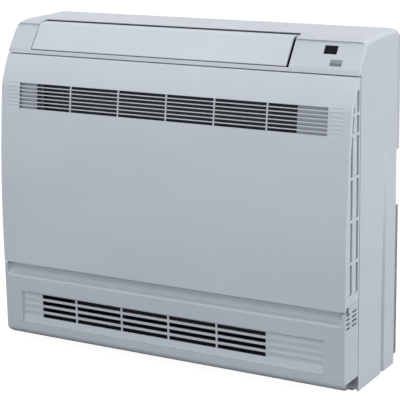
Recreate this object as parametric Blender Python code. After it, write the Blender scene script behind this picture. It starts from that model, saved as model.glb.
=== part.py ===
"""Floor console air conditioner: a hollow cabinet, a hinged front panel and an outlet flap.

Metres, +Z up, the front faces -Y, and the origin is on the floor under the middle of the part.
Depths are given as d, the distance behind the plane of the front face.
"""
import math

import bmesh
import bpy

for leftover in list(bpy.data.objects):
    bpy.data.objects.remove(leftover, do_unlink=True)

# Overall sizes
WIDTH = 0.700
HEIGHT = 0.600
CASE_DEPTH = 0.210
HANGER_DEPTH = 0.013

# Clearances
FIT = 0.0003
MOVE = 0.005
PIN_PLAY = 0.0003

# Casing walls
WALL = 0.003
FRONT_SECTION = 0.0535
REAR_SEAM = 0.149
CORNER_RADIUS = 0.022
CHEEK_INSET = 0.0023

# Head of the casing, as seen from the side: heights are drops from the top
STRIP_BOTTOM_DROP = 0.058
STRIP_BOTTOM_D = 0.044
SLOPE_BOTTOM_DROP = 0.049
SLOPE_BOTTOM_D = 0.047
CREASE_DROP = 0.0052
CREASE_D = 0.0775
CREASE_RUN = 0.006
LIP_DROP = 0.0015
LIP_D = 0.095
STRIP_WALL = 0.002
STRIP_EDGE = 0.001

# Air outlet in the sloping face
LEFT_CAP = 0.050
CONTROL_WIDTH = 0.1275
DUCT_WALL = 0.0025
DUCT_BOTTOM_DROP = 0.095
DUCT_BACK_D = 0.132
VANES = 10
VANE_THICKNESS = 0.002
VANE_LENGTH = 0.030
VANE_BAR = 0.004
VANE_MARGIN = 0.020

# Flap
FLAP_THICKNESS = 0.0035
KNUCKLE_RADIUS = 0.0064
KNUCKLE_RISE = 0.0096
FLAP_PIN_RADIUS = 0.002
PIN_END = 0.001
BOSS_WALL = 0.003
BOSS_START = 0.004
HEAD_EASE = 0.0005
FLAP_BLEND = 0.012
LIP_GAP = 0.007

# Receiver window and indicator on the control panel
WINDOW_INSET = 0.060
WINDOW_WIDTH = 0.023
WINDOW_HEIGHT = 0.0155
WINDOW_RISE = 0.0258
INDICATOR_INSET = 0.045
INDICATOR_WIDTH = 0.021
INDICATOR_HEIGHT = 0.0115
INDICATOR_RISE = 0.0045
LENS_THICKNESS = 0.0012

# Front panel
PANEL_BOTTOM_Z = 0.154
PANEL_WALL = 0.003
PANEL_INSET = 0.002
BELLY_START_Z = 0.200
BELLY_DEPTH = 0.01885
SHOULDER_DROP = 0.054
SHOULDER_SLOPE = 0.34
SHOULDER_RADIUS = 0.254
HINGE_Z = 0.170
HINGE_D = 0.010
HINGE_EYE = 0.0055
PANEL_PIN_RADIUS = 0.003
HINGE_ARM = 0.0055
CATCH_MARGIN = 0.080
CATCH_DROP = 0.100
CATCH_SIZE = 0.014

# Upper grille in the front panel
GRILLE_MARGIN = 0.0435
GRILLE_TOP_DROP = 0.1105
GRILLE_HEIGHT = 0.046
INTAKE_ROWS = 7
INTAKE_PITCH = 0.0068
INTAKE_SLOT = 0.0036
INTAKE_LEFT_MARGIN = 0.083
INTAKE_RIGHT_MARGIN = 0.097
INTAKE_FIRST_BAY = 0.0728
RIB_PITCH = 0.0971
INTAKE_RIB_WIDTH = 0.003

# Side grilles: two columns of tall slots between cross ribs
SIDE_COLUMNS = ((0.008, 0.022), (0.032, 0.0455))
SIDE_FIRST_RIB_Z = 0.2345
SIDE_RIB_PITCH = 0.0713
SIDE_TOP_RIB_DROP = 0.119
SIDE_RIB_WIDTH = 0.005
SIDE_SLOT_BOTTOM_Z = 0.1795
SIDE_SLOT_TOP_DROP = 0.081
SIDE_SLOT_EDGE = 0.004

# Lower front with its finger recess
CHEEK_TOP_Z = 0.160
CHEEK_BOTTOM_Z = 0.030
FACE_BOTTOM_Z = 0.017
CURL_RADIUS = 0.013
COVE_RADIUS = 0.020
COVE_BOTTOM_Z = 0.129
LEDGE_Z = 0.160

# Lower grille
LOWER_MARGIN = 0.0395
LOWER_BOTTOM_Z = 0.040
LOWER_TOP_Z = 0.1005
LOWER_RECESS = 0.006
LOWER_PLATE = 0.0025
LOWER_SLOPE_Z = 0.053
LOWER_ROWS = 4
LOWER_FIRST_Z = 0.0595
LOWER_PITCH = 0.0123
LOWER_SLOT = 0.0066
LOWER_LEFT_MARGIN = 0.087
LOWER_RIGHT_MARGIN = 0.146
LOWER_FIRST_BAY = 0.0725
LOWER_RIB_PITCH = 0.098
LOWER_RIB_WIDTH = 0.0055

# Fine vents in the lower cheeks
VENT_COLUMNS = ((0.008, 0.024), (0.028, 0.045))
VENT_ROWS = 5
VENT_BOTTOM_Z = 0.125
VENT_PITCH = 0.0068
VENT_SLOT = 0.003

# Lower duct
LOWER_DUCT_BACK = 0.100
LOWER_DUCT_MARGIN = 0.008

# Frame behind the front panel
FRAME_WALL = 0.003
STILE_WIDTH = 0.070
FRAME_BOTTOM_Z = 0.200
FRAME_TOP_DROP = 0.108
FILTER_THICKNESS = 0.003

# Heat exchanger and drain pan
COIL_LEFT_MARGIN = 0.055
COIL_RIGHT_MARGIN = 0.125
COIL_FRONT = 0.066
COIL_DEPTH = 0.045
COIL_TOP_DROP = 0.110
PAN_BOTTOM_Z = 0.166
PAN_RIM_Z = 0.196
PAN_MARGIN = 0.006
PAN_DEPTH = 0.090

# Base and back
BASE_WALL = 0.003
LOWER_HANGER_Z = 0.016
HANGER_GAP = 0.100
UPPER_HANGER_DROP = (0.210, 0.012)
HANGER_INSET = 0.002
HANGER_SHEET = 0.0015

# Worked out from the sizes above
HALF = WIDTH / 2
FRONT_Y = -(CASE_DEPTH + HANGER_DEPTH) / 2
STRIP_BOTTOM_Z = HEIGHT - STRIP_BOTTOM_DROP
SLOPE_BOTTOM_Z = HEIGHT - SLOPE_BOTTOM_DROP
CREASE_Z = HEIGHT - CREASE_DROP
LIP_Z = HEIGHT - LIP_DROP
CAP_JOINT_D = LIP_D + LIP_GAP
DUCT_BOTTOM_Z = HEIGHT - DUCT_BOTTOM_DROP
SHOULDER_Z = STRIP_BOTTOM_Z - SHOULDER_DROP
CATCH_Z = HEIGHT - CATCH_DROP
GRILLE_HALF = HALF - GRILLE_MARGIN
GRILLE_TOP_Z = HEIGHT - GRILLE_TOP_DROP
GRILLE_BOTTOM_Z = GRILLE_TOP_Z - GRILLE_HEIGHT
INTAKE_MIDDLE_Z = (GRILLE_TOP_Z + GRILLE_BOTTOM_Z) / 2
SIDE_TOP_RIB_Z = HEIGHT - SIDE_TOP_RIB_DROP
SIDE_SLOT_TOP_Z = HEIGHT - SIDE_SLOT_TOP_DROP
LOWER_HALF = HALF - LOWER_MARGIN
OUTLET_LEFT = LEFT_CAP - HALF
OUTLET_RIGHT = HALF - CONTROL_WIDTH
INTAKE_LEFT = INTAKE_LEFT_MARGIN - HALF
INTAKE_RIGHT = HALF - INTAKE_RIGHT_MARGIN
LOWER_LEFT = LOWER_LEFT_MARGIN - HALF
LOWER_RIGHT = HALF - LOWER_RIGHT_MARGIN
FRAME_HALF = HALF - STILE_WIDTH
COIL_LEFT = COIL_LEFT_MARGIN - HALF
COIL_RIGHT = HALF - COIL_RIGHT_MARGIN
FRAME_TOP_Z = HEIGHT - FRAME_TOP_DROP
COIL_TOP_Z = HEIGHT - COIL_TOP_DROP
UPPER_HANGER_Z = tuple(HEIGHT - drop for drop in UPPER_HANGER_DROP)
SLOPE_RUN = CREASE_D - SLOPE_BOTTOM_D
SLOPE_RISE = CREASE_Z - SLOPE_BOTTOM_Z
SLOPE_LENGTH = math.hypot(SLOPE_RUN, SLOPE_RISE)
ALONG = (SLOPE_RUN / SLOPE_LENGTH, SLOPE_RISE / SLOPE_LENGTH)
OUTWARD = (-ALONG[1], ALONG[0])
PANEL_TOP_Z = STRIP_BOTTOM_Z - MOVE
PANEL_HALF = HALF - PANEL_INSET
CHEEK_OUT = HALF - CHEEK_INSET
CHEEK_IN = CHEEK_OUT - WALL
RETURN_BACK = FRONT_SECTION - MOVE
RETURN_BOTTOM_Z = CHEEK_TOP_Z + MOVE
FRAME_BACK = FRONT_SECTION + FRAME_WALL
INNER_HALF = HALF - WALL - FIT
LAST_BAY = 0.4
ARC_STEPS = 8
PANEL_STEPS = 24
GRILLE_STEPS = 4


def on_slope(rise, depth=0.0):
    """Point (d, z) at a distance up the sloping face and a depth below it."""
    return (SLOPE_BOTTOM_D + rise * ALONG[0] - depth * OUTWARD[0],
            SLOPE_BOTTOM_Z + rise * ALONG[1] - depth * OUTWARD[1])


def panel_front(z):
    """Depth of the front panel's outer face at a height."""
    if z <= BELLY_START_Z:
        return 0.0
    if z <= SHOULDER_Z:
        return BELLY_DEPTH * ((z - BELLY_START_Z) / (SHOULDER_Z - BELLY_START_Z)) ** 2
    above = z - SHOULDER_Z
    return BELLY_DEPTH + SHOULDER_SLOPE * above + above ** 2 / (2 * SHOULDER_RADIUS)


def arc(centre, radius, start_deg, end_deg, steps=ARC_STEPS):
    """Points of an arc, angles measured from the first axis to the second."""
    points = []
    for step in range(steps + 1):
        angle = math.radians(start_deg + (end_deg - start_deg) * step / steps)
        points.append((centre[0] + radius * math.cos(angle), centre[1] + radius * math.sin(angle)))
    return points


def finish(name, colour, roughness, metallic=0.0):
    """Principled material with a plain colour."""
    material = bpy.data.materials.new(name)
    material.use_nodes = True
    shader = material.node_tree.nodes["Principled BSDF"]
    shader.inputs["Base Color"].default_value = (*colour, 1.0)
    shader.inputs["Roughness"].default_value = roughness
    shader.inputs["Metallic"].default_value = metallic
    material.diffuse_color = (*colour, 1.0)
    return material


WHITE = (0.72, 0.74, 0.76)
COOL_WHITE = (0.64, 0.67, 0.70)
SHADE_GREY = (0.12, 0.13, 0.14)
DARK = (0.02, 0.02, 0.025)
STEEL = (0.42, 0.43, 0.44)
FOIL = (0.70, 0.71, 0.72)
BLUE_GREY = (0.25, 0.34, 0.42)


def outline_object(name, loop, lift, material):
    """Closed prism: a loop of points at one end, the same loop moved by lift at the other."""
    mesh = bpy.data.meshes.new(name)
    work = bmesh.new()
    lower = [work.verts.new(point) for point in loop]
    upper = [work.verts.new([value + move for value, move in zip(point, lift)]) for point in loop]
    work.faces.new(lower)
    work.faces.new(upper)
    for index in range(len(loop)):
        following = (index + 1) % len(loop)
        work.faces.new((lower[index], lower[following], upper[following], upper[index]))
    bmesh.ops.recalc_face_normals(work, faces=work.faces)
    work.to_mesh(mesh)
    work.free()
    mesh.shade_smooth()
    mesh.set_sharp_from_angle(angle=math.radians(30))
    piece = bpy.data.objects.new(name, mesh)
    bpy.context.scene.collection.objects.link(piece)
    if material is None:
        piece.hide_render = True
        piece.display_type = "WIRE"
    else:
        mesh.materials.append(material)
    return piece


def across(name, outline, x0, x1, material=None):
    """Prism of a side view outline in (d, z), from x0 to x1. Without a material it is a cutter."""
    loop = [(x0, FRONT_Y + d, z) for d, z in outline]
    return outline_object(name, loop, (x1 - x0, 0.0, 0.0), material)


def through(name, outline, d0, d1, material=None):
    """Prism of a front view outline in (x, z), from depth d0 to d1."""
    loop = [(x, FRONT_Y + d0, z) for x, z in outline]
    return outline_object(name, loop, (0.0, d1 - d0, 0.0), material)


def block(name, x, d, z, material=None):
    """Box between pairs of x, depth and z."""
    outline = [(d[0], z[0]), (d[1], z[0]), (d[1], z[1]), (d[0], z[1])]
    return across(name, outline, x[0], x[1], material)


def blocks(name, boxes):
    """One cutter made of boxes that don't touch."""
    mesh = bpy.data.meshes.new(name)
    work = bmesh.new()
    for x, d, z in boxes:
        cube = bmesh.ops.create_cube(work, size=1.0)["verts"]
        for vert in cube:
            vert.co.x = x[0] if vert.co.x < 0 else x[1]
            vert.co.y = FRONT_Y + (d[0] if vert.co.y < 0 else d[1])
            vert.co.z = z[0] if vert.co.z < 0 else z[1]
    bmesh.ops.recalc_face_normals(work, faces=work.faces)
    work.to_mesh(mesh)
    work.free()
    cutter = bpy.data.objects.new(name, mesh)
    cutter.hide_render = True
    cutter.display_type = "WIRE"
    bpy.context.scene.collection.objects.link(cutter)
    return cutter


def combine(piece, other, operation):
    """Boolean of a piece with another shape."""
    step = piece.modifiers.new(operation.lower() + "_" + other.name, "BOOLEAN")
    step.operation = operation
    step.object = other
    step.solver = "EXACT"
    return piece


def ring(d, z, radius, steps=24):
    """Circle outline in (d, z)."""
    return arc((d, z), radius, 0.0, 360.0 * (steps - 1) / steps, steps - 1)


def mirrored(make):
    """Calls make for the left side and the right side."""
    for side, sign in (("left", -1), ("right", 1)):
        make(side, sign)


def span(sign, inner, outer):
    """Pair of x values on one side of the part, in rising order."""
    return (sign * inner, sign * outer) if sign > 0 else (-outer, -inner)


def pivot(name, d, z):
    """Empty on a joint's axis."""
    axis = bpy.data.objects.new(name, None)
    axis.location = (0.0, FRONT_Y + d, z)
    bpy.context.scene.collection.objects.link(axis)
    bpy.context.view_layer.update()
    return axis


def hang(piece, axis):
    """Parents a piece to the empty on its axis without moving it."""
    piece.parent = axis
    piece.matrix_parent_inverse = axis.matrix_world.inverted()


def crease_bend(inset):
    """Rounded corner between the sloping face and the lip above it, moved inwards by inset."""
    corner = on_slope(SLOPE_LENGTH, inset)
    lip_slope = (LIP_Z - CREASE_Z) / (LIP_D - CREASE_D)
    start = on_slope(SLOPE_LENGTH - CREASE_RUN, inset)
    end = (corner[0] + CREASE_RUN, corner[1] + CREASE_RUN * lip_slope)
    bend = []
    for step in range(ARC_STEPS + 1):
        share = step / ARC_STEPS
        first = [start[i] + (corner[i] - start[i]) * share for i in range(2)]
        second = [corner[i] + (end[i] - corner[i]) * share for i in range(2)]
        bend.append(tuple(first[i] + (second[i] - first[i]) * share for i in range(2)))
    return bend


def head_side(inset):
    """Side view of the casing's head, moved inwards by inset, and closed well below it."""
    front_low = (STRIP_BOTTOM_D + inset, STRIP_BOTTOM_Z - inset)
    slope_low = (SLOPE_BOTTOM_D + inset, SLOPE_BOTTOM_Z)
    top_back = (CASE_DEPTH + (WALL if inset else 0.0), HEIGHT - inset)
    return [front_low, slope_low, *crease_bend(inset), (LIP_D + inset, LIP_Z - inset), top_back,
            (top_back[0], STRIP_BOTTOM_Z - inset)]


def head_front(inset):
    """Front view of the casing's head with its round top corners, moved inwards by inset."""
    half = HALF - inset
    radius = CORNER_RADIUS - inset
    top = HEIGHT - inset
    right = arc((half - radius, top - radius), radius, 0.0, 90.0)
    left = arc((radius - half, top - radius), radius, 90.0, 180.0)
    floor = STRIP_BOTTOM_Z - inset - WALL
    return [(half, floor), *right, *left, (-half, floor)]


def head_piece(name, region, material):
    """Part of the head's shell that lies inside a region."""
    piece = across(name, head_side(0.0), -HALF, HALF, material)
    round_corners = through(name + "_corners", head_front(0.0), -WALL, CASE_DEPTH + WALL)
    hollow = across(name + "_hollow", head_side(WALL), -HALF, HALF)
    hollow_corners = through(name + "_hollow_corners", head_front(WALL), -WALL, CASE_DEPTH + 2 * WALL)
    combine(hollow, hollow_corners, "INTERSECT")
    combine(piece, round_corners, "INTERSECT")
    combine(piece, hollow, "DIFFERENCE")
    combine(piece, region, "INTERSECT")
    return piece


def make_head():
    """Top cover, the cap left of the flap and the control panel right of it."""
    plastic = finish("top_plastic", WHITE, 0.35)
    low = SLOPE_BOTTOM_Z + FIT
    high = HEIGHT + WALL
    rear = block("top_region", (-HALF - WALL, HALF + WALL), (CAP_JOINT_D, CASE_DEPTH + WALL), (low, high))
    head_piece("top_cover", rear, plastic)
    front = (0.0, CAP_JOINT_D - FIT)
    left = block("left_cap_region", (-HALF - WALL, OUTLET_LEFT), front, (low, high))
    head_piece("left_end_cap", left, finish("left_cap_plastic", WHITE, 0.35))
    right = block("control_region", (OUTLET_RIGHT, HALF + WALL), front, (low, high))
    panel = head_piece("control_panel", right, finish("control_plastic", WHITE, 0.35))
    make_lens(panel, "receiver_window", HALF - WINDOW_INSET, WINDOW_WIDTH, WINDOW_RISE, WINDOW_HEIGHT,
              finish("receiver_dark", DARK, 0.15))
    make_lens(panel, "indicator_strip", HALF - INDICATOR_INSET, INDICATOR_WIDTH, INDICATOR_RISE,
              INDICATOR_HEIGHT, finish("indicator_grey", BLUE_GREY, 0.3))


def slope_patch(name, x_middle, width, rise, height, top, bottom, material=None):
    """Slab on the sloping face, from a depth of top to a depth of bottom below it."""
    outline = [on_slope(rise, top), on_slope(rise + height, top),
               on_slope(rise + height, bottom), on_slope(rise, bottom)]
    return across(name, outline, x_middle - width / 2, x_middle + width / 2, material)


def make_lens(panel, name, x_middle, width, rise, height, material):
    """Thin plate let into a pocket of the control panel."""
    pocket = slope_patch(name + "_pocket", x_middle, width + 2 * FIT, rise - FIT, height + 2 * FIT,
                         -WALL, LENS_THICKNESS + FIT)
    combine(panel, pocket, "DIFFERENCE")
    slope_patch(name, x_middle, width, rise, height, 0.0, LENS_THICKNESS, material)


def make_strip():
    """Narrow strip of casing between the front panel and the flap, with its ledge."""
    thin = SLOPE_BOTTOM_D + STRIP_EDGE
    outline = [(STRIP_BOTTOM_D, STRIP_BOTTOM_Z), (SLOPE_BOTTOM_D, SLOPE_BOTTOM_Z),
               (thin, SLOPE_BOTTOM_Z - STRIP_EDGE),
               (STRIP_BOTTOM_D + STRIP_WALL + STRIP_EDGE, STRIP_BOTTOM_Z + STRIP_WALL),
               (FRAME_BACK, STRIP_BOTTOM_Z + STRIP_WALL), (FRAME_BACK, STRIP_BOTTOM_Z)]
    across("fascia_strip", outline, -HALF, HALF, finish("strip_plastic", WHITE, 0.35))


def make_sides():
    """Side walls of the front casing and of the rear frame."""
    top = SLOPE_BOTTOM_Z

    def front_wall(side, sign):
        x = span(sign, HALF - WALL, HALF)
        wall = block("side_panel_" + side, x, (FRONT_SECTION, REAR_SEAM - FIT), (0.0, top),
                     finish("side_plastic_" + side, COOL_WHITE, 0.4))
        notch = block("strip_notch_" + side, span(sign, HALF - 2 * WALL, HALF + WALL),
                      (0.0, FRAME_BACK + FIT), (STRIP_BOTTOM_Z - FIT, top + WALL))
        combine(wall, notch, "DIFFERENCE")

    def rear_wall(side, sign):
        x = span(sign, HALF - WALL, HALF)
        block("rear_side_" + side, x, (REAR_SEAM, CASE_DEPTH), (0.0, top),
              finish("rear_plastic_" + side, COOL_WHITE, 0.4))

    mirrored(front_wall)
    mirrored(rear_wall)


def make_base_and_back():
    """Base plate, plinth, back panel and the two steel plates behind it."""
    across_x = (-INNER_HALF, INNER_HALF)
    back_front = CASE_DEPTH - WALL
    block("base_plate", across_x, (FRONT_SECTION, back_front - FIT), (0.0, BASE_WALL),
          finish("base_steel", STEEL, 0.5, 0.6))
    block("plinth_front", across_x, (FRONT_SECTION, FRAME_BACK),
          (BASE_WALL + FIT, CHEEK_BOTTOM_Z), finish("plinth_plastic", SHADE_GREY, 0.6))
    outline = [(INNER_HALF, 0.0), *head_front(WALL + FIT)[1:-1], (-INNER_HALF, 0.0)]
    through("back_panel", outline, back_front, CASE_DEPTH, finish("back_steel", STEEL, 0.5, 0.5))
    make_hanger("hanger_plate_lower", (LOWER_HANGER_Z, UPPER_HANGER_Z[0] - HANGER_GAP),
                finish("hanger_dark_steel", SHADE_GREY, 0.5, 0.4))
    make_hanger("hanger_plate_upper", UPPER_HANGER_Z, finish("hanger_plain_steel", STEEL, 0.4, 0.7))


def make_hanger(name, z, material):
    """Sheet steel tray with its rim against the back panel."""
    half = HALF - HANGER_INSET
    back = CASE_DEPTH + HANGER_DEPTH
    tray = block(name, (-half, half), (CASE_DEPTH + FIT, back), z, material)
    inside = half - HANGER_SHEET
    hollow = block(name + "_hollow", (-inside, inside), (CASE_DEPTH - WALL, back - HANGER_SHEET),
                   (z[0] + HANGER_SHEET, z[1] - HANGER_SHEET))
    combine(tray, hollow, "DIFFERENCE")


def make_outlet():
    """Duct behind the flap: front wall, rear wall, end walls with the pin holes, and the vanes."""
    plastic = finish("duct_plastic", SHADE_GREY, 0.5)
    x = (OUTLET_LEFT + FIT, OUTLET_RIGHT - FIT)
    front_d = FRAME_BACK + FIT
    wall_top = STRIP_BOTTOM_Z - FIT
    block("outlet_front_wall", x, (front_d, front_d + DUCT_WALL), (DUCT_BOTTOM_Z, wall_top), plastic)
    top_d = CAP_JOINT_D
    top_z = LIP_Z - WALL - FIT
    outline = [(top_d, top_z), (top_d + DUCT_WALL, top_z), (DUCT_BACK_D + DUCT_WALL, DUCT_BOTTOM_Z),
               (DUCT_BACK_D, DUCT_BOTTOM_Z)]
    across("outlet_rear_wall", outline, x[0], x[1], plastic)
    for side, outer in (("left", OUTLET_LEFT), ("right", OUTLET_RIGHT)):
        make_end_wall(side, outer, front_d, plastic)
    make_vanes(front_d + DUCT_WALL)


def make_end_wall(side, outer, front_d, plastic):
    """End wall of the duct with the bearing hole of the flap's pin."""
    sign = -1 if side == "left" else 1
    x = (outer, outer + sign * BOSS_WALL)
    outline = [(front_d, DUCT_BOTTOM_Z), (front_d, STRIP_BOTTOM_Z + STRIP_WALL + FIT),
               on_slope(BOSS_START, WALL + FIT), *crease_bend(WALL + FIT),
               (CAP_JOINT_D, LIP_Z - WALL - FIT - HEAD_EASE), (DUCT_BACK_D, DUCT_BOTTOM_Z)]
    wall = across("outlet_end_" + side, outline, min(x), max(x), plastic)
    axis_d, axis_z = flap_axis()
    hole = across("pin_hole_" + side, ring(axis_d, axis_z, FLAP_PIN_RADIUS + PIN_PLAY),
                  min(x) - WALL, max(x) + WALL)
    combine(wall, hole, "DIFFERENCE")


def make_vanes(front_d):
    """Upright guide vanes on one cross bar."""
    z = (DUCT_BOTTOM_Z, DUCT_BOTTOM_Z + VANE_LENGTH)
    d = (front_d + FIT, front_d + FIT + VANE_LENGTH)
    x0 = OUTLET_LEFT + FIT
    x1 = OUTLET_RIGHT - FIT
    middle = (z[0] + z[1]) / 2
    vanes = block("guide_vanes", (x0, x1), (d[0], d[0] + VANE_BAR),
                  (middle - VANE_BAR / 2, middle + VANE_BAR / 2), finish("vane_grey", SHADE_GREY, 0.5))
    first = x0 + VANE_MARGIN
    pitch = (x1 - x0 - 2 * VANE_MARGIN) / (VANES - 1)
    for index in range(VANES):
        x = first + index * pitch
        blade = block(f"vane_{index}", (x - VANE_THICKNESS / 2, x + VANE_THICKNESS / 2), d, z)
        combine(vanes, blade, "UNION")


def flap_axis():
    """Axis of the flap's pins, in (d, z)."""
    return on_slope(KNUCKLE_RISE, KNUCKLE_RADIUS)


def make_flap():
    """Flap closing the outlet: a blade with a round lower edge and a pin at each end."""
    axis = flap_axis()
    slope_deg = math.degrees(math.atan2(ALONG[1], ALONG[0]))
    knuckle = arc(axis, KNUCKLE_RADIUS, slope_deg + 90.0, slope_deg + 300.0, 3 * ARC_STEPS)
    outline = [*knuckle, on_slope(KNUCKLE_RISE + FLAP_BLEND, FLAP_THICKNESS), *crease_bend(FLAP_THICKNESS),
               (LIP_D, LIP_Z - FLAP_THICKNESS), (LIP_D, LIP_Z), *reversed(crease_bend(0.0))]
    x = (OUTLET_LEFT + MOVE, OUTLET_RIGHT - MOVE)
    flap = across("flap", outline, x[0], x[1], finish("flap_plastic", WHITE, 0.3))
    reach = MOVE + BOSS_WALL + PIN_END
    pin = across("flap_pins", ring(axis[0], axis[1], FLAP_PIN_RADIUS), x[0] - reach, x[1] + reach)
    combine(flap, pin, "UNION")
    hang(flap, pivot("flap_axis", *axis))


def make_frame():
    """Frame behind the front panel, with the two air filters in it."""
    d = (FRONT_SECTION, FRAME_BACK)
    bottom = PAN_BOTTOM_Z
    block("front_frame_top", (-INNER_HALF, INNER_HALF), d, (FRAME_TOP_Z, STRIP_BOTTOM_Z - FIT),
          finish("frame_top_plastic", COOL_WHITE, 0.5))
    block("front_frame_bottom", (-INNER_HALF, INNER_HALF), d, (bottom, FRAME_BOTTOM_Z),
          finish("frame_bottom_plastic", COOL_WHITE, 0.5))
    z = (FRAME_BOTTOM_Z + FIT, FRAME_TOP_Z - FIT)

    def stile(side, sign):
        block("front_frame_" + side, span(sign, FRAME_HALF, INNER_HALF), d, z,
              finish("frame_plastic_" + side, COOL_WHITE, 0.5))

    def air_filter(side, sign):
        block("filter_" + side, span(sign, FIT / 2, FRAME_HALF - FIT),
              (FRAME_BACK - FILTER_THICKNESS, FRAME_BACK), z,
              finish("filter_mesh_" + side, SHADE_GREY, 0.8))

    mirrored(stile)
    mirrored(air_filter)


def make_coil():
    """Finned heat exchanger standing in its drain pan."""
    block("heat_exchanger", (COIL_LEFT, COIL_RIGHT), (COIL_FRONT, COIL_FRONT + COIL_DEPTH),
          (PAN_RIM_Z + FIT, COIL_TOP_Z), finish("fin_aluminium", FOIL, 0.4, 0.8))
    x = (COIL_LEFT - PAN_MARGIN, COIL_RIGHT + PAN_MARGIN)
    d = (FRAME_BACK + FIT, FRAME_BACK + FIT + PAN_DEPTH)
    block("drain_pan", x, d, (PAN_BOTTOM_Z, PAN_RIM_Z), finish("pan_foam", COOL_WHITE, 0.8))


def lower_face_outline(inset):
    """Side view of the lower front, from its ledge round the finger recess to its turned-in foot."""
    cove_top = COVE_BOTTOM_Z + COVE_RADIUS
    back = FRONT_SECTION - FIT
    cove = arc((0.0, cove_top), COVE_RADIUS + inset, 0.0, -90.0, 2 * ARC_STEPS)
    cove = [point for point in cove if point[0] >= inset]
    curl_radius = CURL_RADIUS - inset
    curl = arc((CURL_RADIUS, FACE_BOTTOM_Z + CURL_RADIUS), curl_radius, 180.0, 270.0)
    start = [(back, LEDGE_Z - inset), (COVE_RADIUS + inset, LEDGE_Z - inset)]
    crease = math.sqrt((COVE_RADIUS + inset) ** 2 - inset ** 2)
    return [*start, *cove, (inset, cove_top - crease), *curl, (back, FACE_BOTTOM_Z + inset)]


def make_lower_front():
    """Lower front face with its cheeks and grille."""
    plastic = finish("lower_face_plastic", COOL_WHITE, 0.4)
    outer = lower_face_outline(0.0)
    inner = lower_face_outline(WALL)
    half = CHEEK_IN - FIT
    face = across("lower_front", tidy(outer) + tidy(inner)[::-1], -half, half, plastic)
    window = block("lower_window", (-LOWER_HALF, LOWER_HALF), (-WALL, 3 * WALL),
                   (LOWER_BOTTOM_Z, LOWER_TOP_Z))
    combine(face, window, "DIFFERENCE")
    mirrored(make_cheek)
    make_lower_grille()
    make_lower_duct()


def tidy(outline):
    """Outline without points that lie on the one before."""
    kept = [outline[0]]
    for point in outline[1:]:
        if math.dist(point, kept[-1]) > 1e-5:
            kept.append(point)
    return kept


def make_cheek(side, sign):
    """Side of the lower front with its two columns of fine vents."""
    d = (0.0, FRONT_SECTION - FIT)
    cheek = block("lower_cheek_" + side, span(sign, CHEEK_IN, CHEEK_OUT), d,
                  (CHEEK_BOTTOM_Z, CHEEK_TOP_Z), finish("cheek_plastic_" + side, COOL_WHITE, 0.4))
    boxes = []
    for column in VENT_COLUMNS:
        for row in range(VENT_ROWS):
            z = VENT_BOTTOM_Z + row * VENT_PITCH
            boxes.append((span(sign, CHEEK_IN - WALL, CHEEK_OUT + WALL), column, (z, z + VENT_SLOT)))
    combine(cheek, blocks("vents_" + side, boxes), "DIFFERENCE")


def make_lower_grille():
    """Recessed plate with four rows of slots over a sloping ledge."""
    back = LOWER_RECESS + LOWER_PLATE
    low = LOWER_BOTTOM_Z + FIT
    high = LOWER_TOP_Z - FIT
    outline = [(FIT, low), (LOWER_RECESS, LOWER_SLOPE_Z), (LOWER_RECESS, high), (back, high),
               (back, LOWER_SLOPE_Z), (FIT + LOWER_PLATE, low)]
    half = LOWER_HALF - FIT
    grille = across("lower_grille", outline, -half, half, finish("lower_grille_plastic", COOL_WHITE, 0.4))
    ribs = evenly(LOWER_LEFT + LOWER_FIRST_BAY, LOWER_RIB_PITCH, LOWER_RIGHT)
    boxes = []
    for row in range(LOWER_ROWS):
        z = LOWER_FIRST_Z + row * LOWER_PITCH
        slot = (z - LOWER_SLOT / 2, z + LOWER_SLOT / 2)
        for x in bays(LOWER_LEFT, LOWER_RIGHT, ribs, LOWER_RIB_WIDTH):
            boxes.append((x, (0.0, back + WALL), slot))
    combine(grille, blocks("lower_slots", boxes), "DIFFERENCE")


def evenly(first, pitch, end):
    """Places a pitch apart, from the first to at least LAST_BAY pitches before the end."""
    count = int((end - first) / pitch + 1.0 - LAST_BAY)
    return [first + index * pitch for index in range(max(count, 1))]


def bays(left, right, ribs, rib_width):
    """Stretches of a slot between its ribs."""
    starts = [left] + [rib + rib_width / 2 for rib in ribs]
    ends = [rib - rib_width / 2 for rib in ribs] + [right]
    return list(zip(starts, ends))


def make_lower_duct():
    """Box behind the lower grille, open towards it."""
    x = (LOWER_LEFT - LOWER_DUCT_MARGIN, LOWER_RIGHT + LOWER_DUCT_MARGIN)
    front = LOWER_RECESS + LOWER_PLATE + FIT
    z = (LOWER_SLOPE_Z - DUCT_WALL, LOWER_TOP_Z + LOWER_DUCT_MARGIN)
    plastic = finish("lower_duct_plastic", SHADE_GREY, 0.5)
    duct = block("lower_duct", x, (front, LOWER_DUCT_BACK), z, plastic)
    hollow = block("lower_duct_hollow", (x[0] + DUCT_WALL, x[1] - DUCT_WALL),
                   (0.0, LOWER_DUCT_BACK - DUCT_WALL), (z[0] + DUCT_WALL, z[1] - DUCT_WALL))
    combine(duct, hollow, "DIFFERENCE")


def panel_outline(low, high, steps):
    """Side view of the curved panel wall between two heights."""
    heights = [low + (high - low) * step / steps for step in range(steps + 1)]
    outer = [(panel_front(z), z) for z in heights]
    inner = [(panel_front(z) + PANEL_WALL, z) for z in reversed(heights)]
    return outer + inner


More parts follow.
